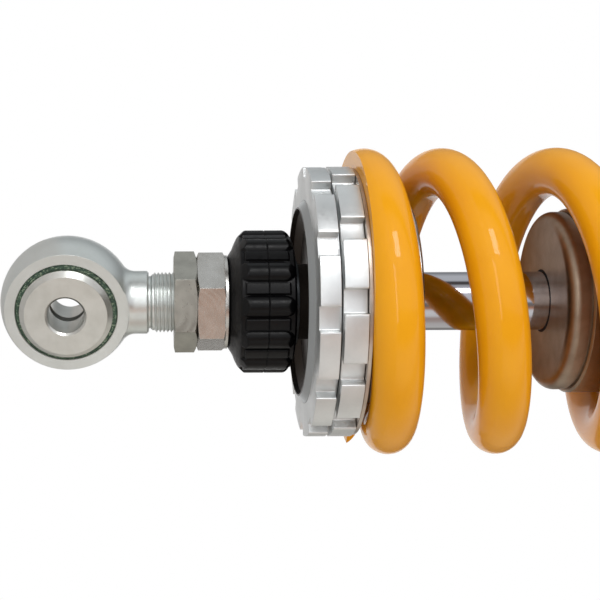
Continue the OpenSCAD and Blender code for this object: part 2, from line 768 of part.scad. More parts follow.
// Ring of blocks with one outline, cut to a shell of the knob's side
module knob_blocks(depth, first, outline, z0) {
    inner_r = knob_r - knob_groove - 1;
    intersection() {
        rotate_extrude() difference() {
            knob_profile(depth);
            square([inner_r, -2 * z_knob + cut], center = true);
        }
        for (i = [0:knob_ribs - 1]) rotate([0, 0, first + i * 360 / knob_ribs])
            translate([inner_r - cut, 0, z0]) rotate([90, 0, 90]) linear_extrude(knob_r) polygon(outline);
    }
}

// Knob with rounded ribs, and lower finger pads in the grooves between them
module rebound_knob() {
    pad_len = knob_len - pad_low - pad_high;
    cam_r = stem_r + pin_reach + loose;
    color("#1B1B1D") difference() {
        union() {
            rotate_extrude() knob_profile(knob_groove);
            knob_blocks(0, first_rib, rib_outline(rib_w, knob_len - rib_low - rib_high), z_knob + rib_low);
            knob_blocks(knob_groove - knob_pad, first_rib + 180 / knob_ribs,
                [[-pad_w / 2, 0], [pad_w / 2, 0], [pad_w / 2, pad_len], [-pad_w / 2, pad_len]],
                z_knob + pad_low);
        }
        ring(stem_r + run_fit, 0, z_knob - cut, z_knob_top + cut);
        ring(cam_r, 0, z_pin - slot_half - loose, z_pin + slot_half + loose);
    }
}

module rebound_cross_pin() {
    color("#77797C") translate([0, 0, z_pin]) rotate([0, 90, 0])
        cylinder(r = pin_r, h = 2 * (stem_r + pin_reach), center = true);
}

module rebound_push_rod() { color("#A9ABAD") ring(rod_r, 0, z_pin + pin_r, z_needle); }

module rebound_needle() {
    tip_r = 0.6;
    z_cone = z_orifice - needle_cone / 2 - edge;
    color("#B08D57") rotate_extrude() polygon([[0, z_needle], [rod_r, z_needle], [rod_r, z_cone],
        [tip_r, z_cone + needle_cone], [0, z_cone + needle_cone]]);
}

module lock_nut() {
    color("#7F7D76") difference() {
        hex_body(hex_af, z_nut_end, nut_h - run_fit, edge / 2, edge, nut_angle);
        ring(stud_r + thread_fit, 0, z_nut_end - cut, z_hex_end + cut);
    }
}

/* Coil spring */

coil_sides = 12;
coil_steps = 24;
spring_start = -10;
ramp_start = 0.84;
ramp_end = 1.24;
coil_rings = round(spring_turns * coil_steps);
open_lead = closed_lead + (spring_len + 2 * tip_drop - closed_lead * spring_turns)
    / (spring_turns - ramp_start - ramp_end);

// Turns of full opening passed after t turns, where the opening grows from 0 to 1 over the ramp
function opened(t) = t < ramp_start ? 0
    : t < ramp_end ? pow(t - ramp_start, 2) / (2 * (ramp_end - ramp_start))
    : t - (ramp_start + ramp_end) / 2;

// Height of the wire's centre over the lower ground end, after t turns from the lower tip
function lower_half(t) = -tip_drop + closed_lead * t + (open_lead - closed_lead) * opened(t);
function wire_z(t) = t < spring_turns / 2 ? lower_half(t) : spring_len - lower_half(spring_turns - t);

// Angle round the wire's section of side i; near a ground end the points close up to leave a flat chord
function ground_share(height) = let (full = 180 - 180 / coil_sides)
    min(1, (90 + asin(max(-0.99, min(1, height / wire_r)))) / full);
function side_angle(t, i) = let (b = 180 / coil_sides + i * 360 / coil_sides, z = wire_z(t))
    t < spring_turns / 2 ? 90 + (b - 180) * ground_share(z)
    : -90 + (b > 180 ? b - 360 : b) * ground_share(spring_len - z);

function coil_point(t, i) = let (a = side_angle(t, i), turn = spring_start + 360 * t,
    r = coil_r + wire_r * cos(a))
    [r * cos(turn), r * sin(turn), wire_z(t) + wire_r * sin(a)];

coil_points = [for (k = [0:coil_rings]) for (i = [0:coil_sides - 1])
    coil_point(k * spring_turns / coil_rings, i)];

// Least distance between points of one ring and of the rings one turn further on
coil_gap = min([for (k = [0:2:coil_rings - coil_steps - 1]) for (m = [-1:1]) for (i = [0:coil_sides - 1])
    for (j = [0:coil_sides - 1]) norm(coil_points[k * coil_sides + i]
        - coil_points[(k + coil_steps + m) * coil_sides + j])]);
echo(least_gap_between_coils = coil_gap, active_lead = open_lead);

module spring() {
    n = coil_sides;
    last = coil_rings * n;
    sides = [for (k = [0:coil_rings - 1]) for (i = [0:n - 1]) let (a = k * n + i, b = k * n + (i + 1) % n)
        each [[a, b, a + n], [b, b + n, a + n]]];
    ends = [for (i = [1:n - 2]) each [[0, i + 1, i], [last, last + i, last + i + 1]]];
    color("#F0A51E") translate([0, 0, z_spring])
        polyhedron(points = coil_points, faces = concat(sides, ends));
}

upper_spacers();
upper_bearing_ball();
upper_bearing_race();
upper_circlips();
upper_seals();
upper_eye();
gas_valve();
cap_o_ring();
cylinder_tube();
upper_spring_seat();
seat_snap_ring();
floating_piston();
floating_piston_o_ring();
cylinder_head();
head_bush();
shaft_seal();
shaft_wiper();
head_o_ring();
head_circlip();
spring();
damper_shaft();
topout_spacer();
rebound_shims();
main_piston();
piston_band();
compression_shims();
piston_nut();
bump_stop();
bump_stop_cup();
spring_seat_sleeve();
shaft_bracket();
knob_circlip();
rebound_knob();
rebound_cross_pin();
rebound_push_rod();
rebound_needle();
spring_washer();
preload_ring();
preload_lock_ring();
lock_nut();
lower_eye();
lower_bearing_race();
lower_circlips();
lower_seals();
lower_spacers();
lower_bearing_ball();
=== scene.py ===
import json
from math import atan2, ceil, cos, pi, radians, sin, sqrt

import bmesh
import bpy
from mathutils import Matrix, Vector


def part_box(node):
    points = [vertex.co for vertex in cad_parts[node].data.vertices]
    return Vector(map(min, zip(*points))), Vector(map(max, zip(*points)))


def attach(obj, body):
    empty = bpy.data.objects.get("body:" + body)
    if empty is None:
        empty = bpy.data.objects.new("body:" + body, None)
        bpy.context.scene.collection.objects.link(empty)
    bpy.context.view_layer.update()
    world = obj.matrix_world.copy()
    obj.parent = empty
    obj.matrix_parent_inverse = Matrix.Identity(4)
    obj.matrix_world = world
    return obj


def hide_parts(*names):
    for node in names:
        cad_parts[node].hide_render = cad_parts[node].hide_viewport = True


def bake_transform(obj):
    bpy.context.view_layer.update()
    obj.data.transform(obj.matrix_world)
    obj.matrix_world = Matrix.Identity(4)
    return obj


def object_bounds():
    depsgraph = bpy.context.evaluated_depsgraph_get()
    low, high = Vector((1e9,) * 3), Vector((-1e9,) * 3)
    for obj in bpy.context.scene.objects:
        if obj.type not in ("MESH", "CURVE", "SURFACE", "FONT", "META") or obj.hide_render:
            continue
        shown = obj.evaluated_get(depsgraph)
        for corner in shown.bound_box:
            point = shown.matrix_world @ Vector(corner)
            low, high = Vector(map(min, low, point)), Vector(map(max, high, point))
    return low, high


# Lengths are metres. The damper's axis is Z, and both eyes are bored along Y.
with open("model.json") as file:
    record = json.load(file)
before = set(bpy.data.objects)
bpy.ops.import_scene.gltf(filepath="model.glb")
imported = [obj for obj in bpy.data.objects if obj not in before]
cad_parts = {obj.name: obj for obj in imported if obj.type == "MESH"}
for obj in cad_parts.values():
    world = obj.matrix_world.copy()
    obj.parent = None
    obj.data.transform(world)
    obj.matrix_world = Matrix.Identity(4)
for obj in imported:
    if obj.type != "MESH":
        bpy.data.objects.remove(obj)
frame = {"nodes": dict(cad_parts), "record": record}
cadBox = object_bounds()
mm = 0.001


def span(node):
    low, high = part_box(node)
    return low.z, high.z


def outerRadius(node):
    low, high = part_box(node)
    return (high.x - low.x) / 2


lowerEyeZ = sum(span("lower_spacers")) / 2
knobLow, knobHigh = span("rebound_knob")


# Materials

def linear(hexColour):
    channels = [int(hexColour[i:i + 2], 16) / 255 for i in (1, 3, 5)]
    return [c / 12.92 if c <= 0.04045 else ((c + 0.055) / 1.055) ** 2.4 for c in channels] + [1.0]


# Adds a node. An input takes a value, a socket, or another node, whose first output in use is linked.
def add(tree, kind, inputs=None, **settings):
    made = tree.nodes.new("ShaderNode" + kind)
    for name, value in settings.items():
        setattr(made, name, value)
    for name, value in (inputs or {}).items():
        if isinstance(value, bpy.types.Node):
            value = next(output for output in value.outputs if output.enabled)
        if isinstance(value, bpy.types.NodeSocket):
            tree.links.new(value, made.inputs[name])
        else:
            made.inputs[name].default_value = value
    return made


def newMaterial(name):
    made = bpy.data.materials.new(name)
    made.use_nodes = True
    made.node_tree.nodes.clear()
    return made, made.node_tree, add(made.node_tree, "TexCoord").outputs["Object"]


def cover(tree, inputs):
    add(tree, "OutputMaterial", {"Surface": add(tree, "BsdfPrincipled", inputs)})


noiseRange = {"From Min": 0.3, "From Max": 0.7}  # what a noise pattern's values mostly lie between
softEdge = {"radius": 0.18 * mm, "samples": 6}  # how round the edges of metal look


# A value that drifts between two ends, in patches of a given size
def drift(tree, spot, size, ends, detail=3.0):
    clouds = add(tree, "TexNoise", {"Vector": spot, "Scale": 1 / size, "Detail": detail})
    return add(tree, "MapRange", {"Value": clouds, "To Min": ends[0], "To Max": ends[1], **noiseRange})


# Two tones, in patches of a given size
def twoTone(tree, spot, size, tones, detail=3.0):
    share = drift(tree, spot, size, (0, 1), detail)
    return add(tree, "Mix", {"Factor": share, "A": linear(tones[0]), "B": linear(tones[1])}, data_type="RGBA")


# Fine relief on metal, whose edges look a little rounded as well
def relief(tree, height, depth, strength):
    edges = add(tree, "Bevel", {"Radius": softEdge["radius"]}, samples=softEdge["samples"])
    return add(tree, "Bump", {"Height": height, "Distance": depth, "Strength": strength, "Normal": edges})


# Distance from the axis that a piece was turned about, and the place along it
def turningPlace(tree, spot, axis, height):
    centred = add(tree, "Mapping", {"Vector": spot, "Location": (0, 0, -height)})
    xyz = add(tree, "SeparateXYZ", {0: centred}).outputs
    across, along = (xyz["Z"], xyz["Y"]) if axis == "Y" else (xyz["Y"], xyz["Z"])
    flat = add(tree, "CombineXYZ", {"X": xyz["X"], "Y": across})
    return add(tree, "VectorMath", {0: flat}, operation="LENGTH"), along


# Metal turned on a lathe: fine grooves round the axis, and a slow change of sheen
def turnedMetal(name, tones, roughness, axis="Z", height=0.0, pitch=0.14 * mm, depth=0.002 * mm):
    made, tree, spot = newMaterial(name)
    radius, along = turningPlace(tree, spot, axis, height)
    track = add(tree, "Math", {0: radius, 1: along}, operation="ADD")
    phase = add(tree, "Math", {0: track, 1: 2 * pi / pitch}, operation="MULTIPLY")
    grooves = add(tree, "Math", {0: phase}, operation="SINE")
    cover(tree, {
        "Metallic": 1.0,
        "Base Color": twoTone(tree, spot, 4 * mm, tones),
        "Roughness": drift(tree, spot, 0.6 * mm, (roughness - 0.02, roughness + 0.03)),
        "Normal": relief(tree, grooves, depth, 0.6),
    })
    return made


# Aluminium blasted with beads and then anodised: even, fine grain, a little darker in patches
def blastedMetal(name, tones, roughness, depth=0.012 * mm):
    made, tree, spot = newMaterial(name)
    grain = add(tree, "TexNoise", {"Vector": spot, "Scale": 1 / (0.25 * mm), "Detail": 4.0})
    cover(tree, {
        "Metallic": 1.0,
        "Base Color": twoTone(tree, spot, 9 * mm, tones),
        "Roughness": drift(tree, spot, 0.7 * mm, (roughness - 0.06, roughness + 0.06)),
        "Normal": relief(tree, grain, depth, 0.5),
    })
    return made


# Anodised aluminium with shade painted on: nearly black inside a given radius, so that the sleeve's mouth looks
# deep
def sleeveMetalWithPaintedShade(name, outside, inside, shadedMouthRadius):
    made, tree, spot = newMaterial(name)
    radius = turningPlace(tree, spot, "Z", 0)[0]
    # Painted shade: within the mouth's radius the colour is the nearly black inside tone
    outer = add(tree, "Math", {0: radius, 1: shadedMouthRadius}, operation="GREATER_THAN")
    grain = add(tree, "TexNoise", {"Vector": spot, "Scale": 1 / (0.25 * mm), "Detail": 3.0})
    cover(tree, {
        "Metallic": 1.0,
        "Base Color": add(tree, "Mix", {"Factor": outer, "A": linear(inside), "B": linear(outside)},
                          data_type="RGBA"),
        "Roughness": drift(tree, spot, 0.7 * mm, (0.28, 0.4)),
        "Normal": relief(tree, grain, 0.008 * mm, 0.5),
    })
    return made


# What all milled pieces share. The cutter swings about a point to one side of the axis and below the piece.
# Its arcs are drawn coarser than a cutter leaves them, so that they show.
milling = {
    "pitch": 0.95 * mm,
    "swingAside": 2 * mm,
    "depth": 0.012 * mm,
    "wornTo": 0.1,
    "wearSize": 3 * mm,
    "scratchSize": 1.2 * mm,
    "scratchLength": (1, 1, 5),
    "scratchDepth": 0.2,
    # Painted shade: colour and roughness where a piece goes up into the dark of the sleeve
    "paintedShade": "#3A342F",
    "paintedShadeRoughness": 0.4,
}


# Milled steel: shallow arcs from the cutter on every flat, worn away in places. Above a height it may have shade
# painted on, nearly black; that height by default lies above every piece.
def milledMetal(name, tones, roughness, swungFrom, paintedShadeAbove=cadBox[1].z):
    made, tree, spot = newMaterial(name)
    swing = add(tree, "Mapping", {"Vector": spot, "Location": (-milling["swingAside"], 0, -swungFrom)})
    away = add(tree, "VectorMath", {0: swing}, operation="LENGTH")
    phase = add(tree, "Math", {0: away, 1: 2 * pi / milling["pitch"]}, operation="MULTIPLY")
    arcs = add(tree, "Math", {0: phase}, operation="SINE")
    left = drift(tree, spot, milling["wearSize"], (milling["wornTo"], 1))
    drawn = add(tree, "Mapping", {"Vector": spot, "Scale": milling["scratchLength"]})
    scratches = add(tree, "TexNoise", {"Vector": drawn, "Scale": 1 / milling["scratchSize"], "Detail": 3.0})
    faint = add(tree, "Math", {0: scratches, 1: milling["scratchDepth"]}, operation="MULTIPLY")
    height = add(tree, "Math", {0: arcs, 1: left, 2: faint}, operation="MULTIPLY_ADD")
    sheen = add(tree, "MapRange", {"Value": scratches, "To Min": roughness - 0.03, "To Max": roughness + 0.05,
                                   **noiseRange})
    z = add(tree, "SeparateXYZ", {0: spot}).outputs["Z"]
    # Painted shade: nearly black above the given height
    paintedShade = add(tree, "Math", {0: z, 1: paintedShadeAbove}, operation="GREATER_THAN")
    bare = twoTone(tree, spot, 5 * mm, tones)
    cover(tree, {
        "Metallic": 1.0,
        "Base Color": add(tree, "Mix", {"Factor": paintedShade, "A": bare, "B": linear(milling["paintedShade"])},
                          data_type="RGBA"),
        "Roughness": add(tree, "Math", {0: paintedShade, 1: milling["paintedShadeRoughness"], 2: sheen},
                         operation="MULTIPLY_ADD"),
        "Normal": relief(tree, height, milling["depth"], 0.6),
    })
    return made


# Hard chrome, ground round the shaft before plating: a mirror with faint hoops
def chromePlate(name, colour):
    made, tree, spot = newMaterial(name)
    ground = add(tree, "Mapping", {"Vector": spot, "Scale": (0.02, 0.02, 1)})
    hoops = add(tree, "TexNoise", {"Vector": ground, "Scale": 1 / (0.35 * mm), "Detail": 3.0})
    cover(tree, {
        "Metallic": 1.0,
        "Base Color": linear(colour),
        "Roughness": drift(tree, spot, 3 * mm, (0.04, 0.09)),
        "Normal": add(tree, "Bump", {"Height": hoops, "Distance": 0.0006 * mm, "Strength": 0.5}),
    })
    return made


# Powder coat baked on the spring: deep gloss over a very slight orange peel
def powderCoat(name, tones):
    made, tree, spot = newMaterial(name)
    peel = add(tree, "TexNoise", {"Vector": spot, "Scale": 1 / (2.2 * mm), "Detail": 1.0})
    cover(tree, {
        "Base Color": twoTone(tree, spot, 12 * mm, tones),
        "Roughness": 0.42,
        "Specular IOR Level": 0.1,
        "Normal": add(tree, "Bump", {"Height": peel, "Distance": 0.018 * mm, "Strength": 0.35}),
        "Coat Weight": 0.5,
        "Coat Roughness": 0.03,
        "Coat Normal": add(tree, "Bump", {"Height": peel, "Distance": 0.012 * mm, "Strength": 0.3}),
    })
    return made


# Moulded plastic with the fine spark-eroded grain of its mould, which dulls its highlights
def mouldedPlastic(name, tones, roughness):
    made, tree, spot = newMaterial(name)
    grain = add(tree, "TexNoise", {"Vector": spot, "Scale": 1 / (0.22 * mm), "Detail": 2.0})
    cover(tree, {
        "Base Color": twoTone(tree, spot, 5 * mm, tones),
        "Roughness": drift(tree, spot, 1.2 * mm, (roughness - 0.06, roughness + 0.08)),
        "Specular IOR Level": 0.2,
        "Normal": add(tree, "Bump", {"Height": grain, "Distance": 0.012 * mm, "Strength": 0.5}),
    })
    return made


# Rubber: matt, with a dusting of a second tone that is duller as well
def rubberSkin(name, tones, roughness=0.62):
    made, tree, spot = newMaterial(name)
    grain = add(tree, "TexNoise", {"Vector": spot, "Scale": 1 / (0.3 * mm), "Detail": 3.0})
    cover(tree, {
        "Base Color": twoTone(tree, spot, 1.4 * mm, tones, detail=5.0),
        "Roughness": drift(tree, spot, 1.4 * mm, (roughness, roughness + 0.15), detail=5.0),
        "Specular IOR Level": 0.35,
        "Normal": add(tree, "Bump", {"Height": grain, "Distance": 0.02 * mm, "Strength": 0.4}),
    })
    return made


# Woven liner: green threads flecked with pale ones
def speckledLiner(name, tones, pale):
    made, tree, spot = newMaterial(name)
    flecks = add(tree, "TexNoise", {"Vector": spot, "Scale": 1 / (0.45 * mm), "Detail": 4.0})
    spots = add(tree, "Math", {0: flecks, 1: 0.57}, operation="GREATER_THAN")
    threads = twoTone(tree, spot, 1.1 * mm, tones)
    cover(tree, {
        "Base Color": add(tree, "Mix", {"Factor": spots, "A": threads, "B": linear(pale)}, data_type="RGBA"),
        "Roughness": 0.7,
        "Normal": add(tree, "Bump", {"Height": flecks, "Distance": 0.06 * mm, "Strength": 0.6}),
    })
    return made


materials = {
    # Blasted, then clear anodised: satin grey with broad, soft highlights
    "eye_aluminium": blastedMetal("satin_aluminium", ("#E0E4E2", "#D6DAD7"), 0.36),
    # Blasted coarser and left pale: nearly white, with hardly a highlight
    "ring_aluminium": blastedMetal("bead_blasted_aluminium", ("#E8EAEA", "#DADDDD"), 0.44, 0.02 * mm),
    # Drawn and bronze anodised: smooth, with one soft band of light along it
    "tube_aluminium": blastedMetal("bronze_tube", ("#A8957F", "#97856F"), 0.38, 0.0015 * mm),
    # Turned and bronze anodised: a dull bronze whose grooves hardly show
    "head_bronze_anodised": turnedMetal("bronze_anodised", ("#A4917F", "#93816F"), 0.4, pitch=0.3 * mm,
                                        depth=0.0004 * mm),
    # Anodised grey outside, and painted shade makes it nearly black down its mouth
    "sleeve_anodised": sleeveMetalWithPaintedShade("grey_anodised_with_painted_shade", "#ACB0B1", "#342E29", 25.7 * mm),
    # Turned and left bare: light grey, with the light fanned out by the grooves
    "piston_aluminium": turnedMetal("turned_aluminium", ("#C4C6C8", "#AEB0B2"), 0.25),
    # Turned across the eye and left bare: the brightest steel of all
    "spacer_steel": turnedMetal("turned_steel", ("#DADAD5", "#CCCCC6"), 0.3, "Y", lowerEyeZ),
    # Ground and hardened: darker and sharper than the spacers in it
    "bearing_steel": turnedMetal("bearing_steel", ("#9EA0A2", "#85878A"), 0.2, "Y", lowerEyeZ),
    # Plain rolled steel, a little warm in tone
    "washer_steel": turnedMetal("plain_steel", ("#CDBFB3", "#B8AA9B"), 0.3),
    # Thin ground sheet: an even grey
    "shim_steel": turnedMetal("ground_steel", ("#8A8C8F", "#75777A"), 0.25),
    # Pressed sheet: an even grey, a little duller than the shims
    "cup_steel": turnedMetal("pressed_steel", ("#9A9C9E", "#86888A"), 0.3),
    # Oiled spring wire: nearly black, with a dull shine
    "spring_steel": turnedMetal("dark_spring_steel", ("#55585A", "#3F4244"), 0.4),
    # Plated after milling: a greyer, duller steel with the cutter's arcs
    "nut_steel": milledMetal("plated_nut_steel", ("#B4B2A9", "#9E9C94"), 0.3, span("lock_nut")[0] - 2 * mm),
    # Milled and left bright, with shade painted nearly black where it goes up into the sleeve
    "bracket_steel": milledMetal("milled_steel_with_painted_shade", ("#CECCC8", "#BCB9B4"), 0.26, span("shaft_bracket")[0] - 3 * mm,
                                 knobHigh - 3 * mm),
    # Chromed: it shows the studio's bands as sharp stripes
    "shaft_chrome": chromePlate("hard_chrome", "#BDBCC2"),
    # Turned brass: yellow, with the light fanned out by its grooves
    "valve_brass": turnedMetal("turned_brass", ("#B89152", "#9A7A45"), 0.3),
    # Bearing bronze, bored and left dull with oil
    "bush_bronze": turnedMetal("bearing_bronze", ("#8F7A4A", "#7A683F"), 0.4),
    # Plastic filled with bronze: the colour of bronze without its shine
    "band_bronze": rubberSkin("bronze_filled_band", ("#7C6A3C", "#665732"), 0.5),
    # Powder coated: an even, deep yellow under a clear gloss
    "spring_yellow": powderCoat("yellow_powder_coat", ("#FDB013", "#F9AA0F")),
    # Woven: mottled green with pale flecks
    "seal_green": speckledLiner("green_woven_liner", ("#2E4238", "#47624F"), "#8A9C84"),
    # Moulded: deep black with soft grey highlights
    "knob_black": mouldedPlastic("black_moulded_plastic", ("#08080A", "#050506"), 0.36),
    # Moulded rubber: dusty black without highlights
    "black_rubber": rubberSkin("black_rubber", ("#232325", "#17171A")),
    # Moulded rubber: dark brown without highlights
    "seal_brown": rubberSkin("brown_rubber", ("#3A2E28", "#2A211D")),
}
slotOf = {part["node"]: part["material_slot"] for part in frame["record"]["subparts"]}


def dress(piece, slotName):
    piece.data.materials.clear()
    piece.data.materials.append(materials[slotName])


for nodeName, cadPiece in frame["nodes"].items():
    for materialSlot in cadPiece.material_slots:
        materialSlot.material = materials[slotOf[nodeName]]
print("materials ready")


# Meshes

# A closed outline of points, with all its corners rounded or only those that are numbered
def outline(shape, points, cornerRadius, corners=None, steps=4):
    verts = [shape.verts.new(p) for p in points]
    shape.faces.new(verts)
    roundCorners(shape, verts if corners is None else [verts[i] for i in corners], cornerRadius, steps)


# Rounds corners of a face, and then takes the face away and leaves its edges
def roundCorners(shape, corners, cornerRadius, steps):
    bmesh.ops.bevel(shape, geom=corners, offset=cornerRadius, offset_type="OFFSET", affect="VERTICES",
                    segments=steps, profile=0.5, material=-1, clamp_overlap=True)
    bmesh.ops.delete(shape, geom=shape.faces[:], context="FACES_ONLY")


# Makes an object of a shape, smooth all over except along edges sharper than a number of degrees
def finish(name, shape, hard=32):
    mesh = bpy.data.meshes.new(name)
    bmesh.ops.remove_doubles(shape, verts=shape.verts, dist=0.0001 * mm)
    bmesh.ops.recalc_face_normals(shape, faces=shape.faces)
    for face in shape.faces:
        face.smooth = True
    for side in shape.edges:
        side.smooth = len(side.link_faces) < 2 or side.calc_face_angle(0) < radians(hard)
    shape.to_mesh(mesh)
    shape.free()
    made = bpy.data.objects.new(name, mesh)
    bpy.context.scene.collection.objects.link(made)
    return made


# Turns what is drawn in the XZ plane once round Z
def turnRound(shape, steps):
    bmesh.ops.spin(shape, geom=shape.verts[:] + shape.edges[:], cent=(0, 0, 0), axis=(0, 0, 1), dvec=(0, 0, 0),
                   angle=2 * pi, steps=steps, use_merge=True, use_duplicate=False)


def stand(piece, body, slotName, *nodes):
    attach(piece, body)
    dress(piece, slotName)
    if nodes:
        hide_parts(*nodes)


# Coil spring, wound as the CAD spring is: closed and ground ends, open coils between.
# It is made in two pieces, split at the end of the preload turns.
spring = {
    "coilRadius": 35 * mm,
    "wireRadius": 6.5 * mm,
    "turns": 6.75,
    "closedLead": 12.9 * mm,  # rise per turn in the closed coils
    "tipDrop": 3.4 * mm,  # how far the middle of the wire starts outside the ground end
    "start": radians(-10),
    "rampStart": 0.84,  # turns from either tip between which the lead opens
    "rampEnd": 1.24,
    "preloadTurns": (0.9, 1.9),  # "preloadTurns": (0.9, 1.9), # turns from the lower tip over which the lower piece's share falls; the spring splits at the second
    "stepsPerTurn": 80,
    "sides": 40,
}
springLow, springHigh = span("spring")
springLength = springHigh - springLow
openLead = spring["closedLead"] + (
    springLength + 2 * spring["tipDrop"] - spring["closedLead"] * spring["turns"]
) / (spring["turns"] - spring["rampStart"] - spring["rampEnd"])


def openedTurns(t):
    start, end = spring["rampStart"], spring["rampEnd"]
    if t < start:
        return 0.0
    if t < end:
        return (t - start) ** 2 / (2 * (end - start))
    return t - (start + end) / 2


def wireHeight(t):
    fromTip = min(t, spring["turns"] - t)
    rise = -spring["tipDrop"] + spring["closedLead"] * fromTip
    rise += (openLead - spring["closedLead"]) * openedTurns(fromTip)
    return rise if t < spring["turns"] / 2 else springLength - rise


# One section of the wire; near a ground end its points close up and leave a flat
def wireSection(t):
    sides, wireRadius = spring["sides"], spring["wireRadius"]
    height = wireHeight(t)
    lower = t < spring["turns"] / 2
    room = height if lower else springLength - height
    full = pi - pi / sides
    share = min(1.0, (pi / 2 + atan2(room, sqrt(max(wireRadius ** 2 - room ** 2, 0.0)))) / full)
    turn = spring["start"] + 2 * pi * t
    section = []
    for i in range(sides):
        b = pi / sides + i * 2 * pi / sides
        away = (b - pi) * share if lower else (b - 2 * pi if b > pi else b) * share
        a = pi / 2 + away if lower else away - pi / 2
        reach = spring["coilRadius"] + wireRadius * cos(a)
        section.append((reach * cos(turn), reach * sin(turn), springLow + height + wireRadius * sin(a)))
    return section


# Part of the spring between two counts of turns, with a share worked out for each section.
# The wire's lead and section change along it, which no spin gives, so its skin is drawn section by section.
def coils(name, first, last, share):
    steps = ceil((last - first) * spring["stepsPerTurn"])
    turns = [first + (last - first) * k / steps for k in range(steps + 1)]
    shape = bmesh.new()
    sections = [[shape.verts.new(p) for p in wireSection(t)] for t in turns]
    for low, high in zip(sections, sections[1:]):
        for i in range(spring["sides"]):
            shape.faces.new((low[i - 1], low[i], high[i], high[i - 1]))
    for k, tip in ((0, 0), (-1, spring["turns"])):
        if turns[k] == tip:
            shape.faces.new(sections[k])
    made = finish(name, shape, hard=25)
    shares = [share(t) for t in turns for side in range(spring["sides"])]
    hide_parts("spring")
    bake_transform(made)
    dress(made, "spring_yellow")


preloadStart, preloadEnd = spring["preloadTurns"]
strokeEnd = spring["turns"] - 1


def washerShare(t):
    return min(1.0, max(0.0, (preloadEnd - t) / (preloadEnd - preloadStart)))


def shaftShare(t):
    return min(1.0, max(0.0, (strokeEnd - t) / (strokeEnd - preloadEnd)))


coils("spring_lower", 0, preloadEnd, washerShare)
coils("spring_upper", preloadEnd, spring["turns"], shaftShare)
print("spring ready")

# Rebound knob: ribs with round ends, finger pads in the grooves, and the mould's parting line.
# The flare is given as radii and heights, and the shoulder as depths under the crown and under the top.
knob = {
    "flare": [(12.1 * mm, 0), (14.3 * mm, 1.4 * mm), (16.1 * mm, 2.1 * mm), (17.7 * mm, 2.9 * mm)],
    "crownStart": 4.7 * mm,
    "shoulder": [(0, 2.2 * mm), (0.9 * mm, 1 * mm), (2.5 * mm, 0)],
    "bore": 10.35 * mm,
    "boreWall": 1.5 * mm,  # left plain round the bore, and by the next two at the bottom and the top
    "plainStart": 1 * mm,
    "plainEnd": 0.1 * mm,
    "cornerRadius": 0.5 * mm,
    "finest": 0.25 * mm,  # longest edge of the side that the ribs are pressed into
    "ribs": 12,
    "stepsPerRib": 48,
    "firstRib": radians(12),
    "ribWidth": 6.1 * mm,
    "ribLow": 2.3 * mm,
    "ribHigh": 0.4 * mm,
    "groove": 1.6 * mm,
    "crownShare": 0.95,  # how much of the groove's depth the arc of a rib's crown takes
    "ribEdge": (-0.8 * mm, 0.1 * mm),  # from inside to outside its edge, as for the two edges below
    "padWidth": 3.4 * mm,
    "padLow": 4 * mm,
    "padHigh": 1.8 * mm,
    "padHeight": 0.75 * mm,
    "padEdge": (-0.25 * mm, 0.05 * mm),
    "partingLine": 10.1 * mm,
    "partingDepth": 0.16 * mm,
    "partingEdge": (0.05 * mm, 0.14 * mm),
}


def smoothStep(ends, value):
    t = min(1.0, max(0.0, (value - ends[0]) / (ends[1] - ends[0])))
    return t * t * (3 - 2 * t)


# Depth under the ribs' crowns: a rib is an arc across and flat along, with rounded ends
def knobDepth(angle, z, radius):
    pitch = 2 * pi / knob["ribs"]
    ribAngle = (angle - knob["firstRib"] + pitch / 2) % pitch - pitch / 2
    fromRib, fromPad = abs(ribAngle * radius), (pitch / 2 - abs(ribAngle)) * radius
    half, groove = knob["ribWidth"] / 2, knob["groove"]
    ribStart, ribEnd = knobLow + knob["ribLow"], knobHigh - knob["ribHigh"]
    beyond = max(0.0, abs(z - (ribStart + ribEnd) / 2) - (ribEnd - ribStart) / 2 + half)
    edge = sqrt(fromRib ** 2 + beyond ** 2) - half
    crownRadius = (half ** 2 + groove ** 2) / (2 * groove)
    crown = crownRadius - sqrt(crownRadius ** 2 - min(half, fromRib) ** 2)
    depth = max(crown * knob["crownShare"], groove * smoothStep(knob["ribEdge"], edge))
    if edge > 0:
        outside = max(abs(fromPad) - knob["padWidth"] / 2, knobLow + knob["padLow"] - z,
                      z - knobHigh + knob["padHigh"])
        depth -= (1 - smoothStep(knob["padEdge"], outside)) * knob["padHeight"]
    fromParting = abs(z - knobLow - knob["partingLine"])
    return depth + knob["partingDepth"] * (1 - smoothStep(knob["partingEdge"], fromParting))


def makeKnob():
    crown, bore = outerRadius("rebound_knob"), knob["bore"]
    side = [(r, knobLow + up) for r, up in knob["flare"]] + [(crown, knobLow + knob["crownStart"])]
    side += [(crown - under, knobHigh - down) for under, down in knob["shoulder"]]
    side += [(bore, knobHigh), (bore, knobLow)]
    shape = bmesh.new()
    outline(shape, [(r, 0, z) for r, z in side], knob["cornerRadius"])
    inside = bore + knob["boreWall"]
    coarse = shape.edges[:]
    while coarse:
        coarse = [e for e in shape.edges if e.calc_length() > knob["finest"]
                  and min(v.co.x for v in e.verts) > inside]
        bmesh.ops.subdivide_edges(shape, edges=coarse, cuts=1)
    turnRound(shape, knob["ribs"] * knob["stepsPerRib"])
    for vert in shape.verts:
        away = vert.co.xy.length
        if away > inside and knobLow + knob["plainStart"] < vert.co.z < knobHigh - knob["plainEnd"]:
            depth = knobDepth(atan2(vert.co.y, vert.co.x), vert.co.z, crown)
            vert.co.xy *= min(away, crown - depth) / away
    return finish("rebound_knob_moulding", shape, hard=60)


stand(makeKnob(), "rebound_knob", "knob_black", "rebound_knob")
print("knob ready")

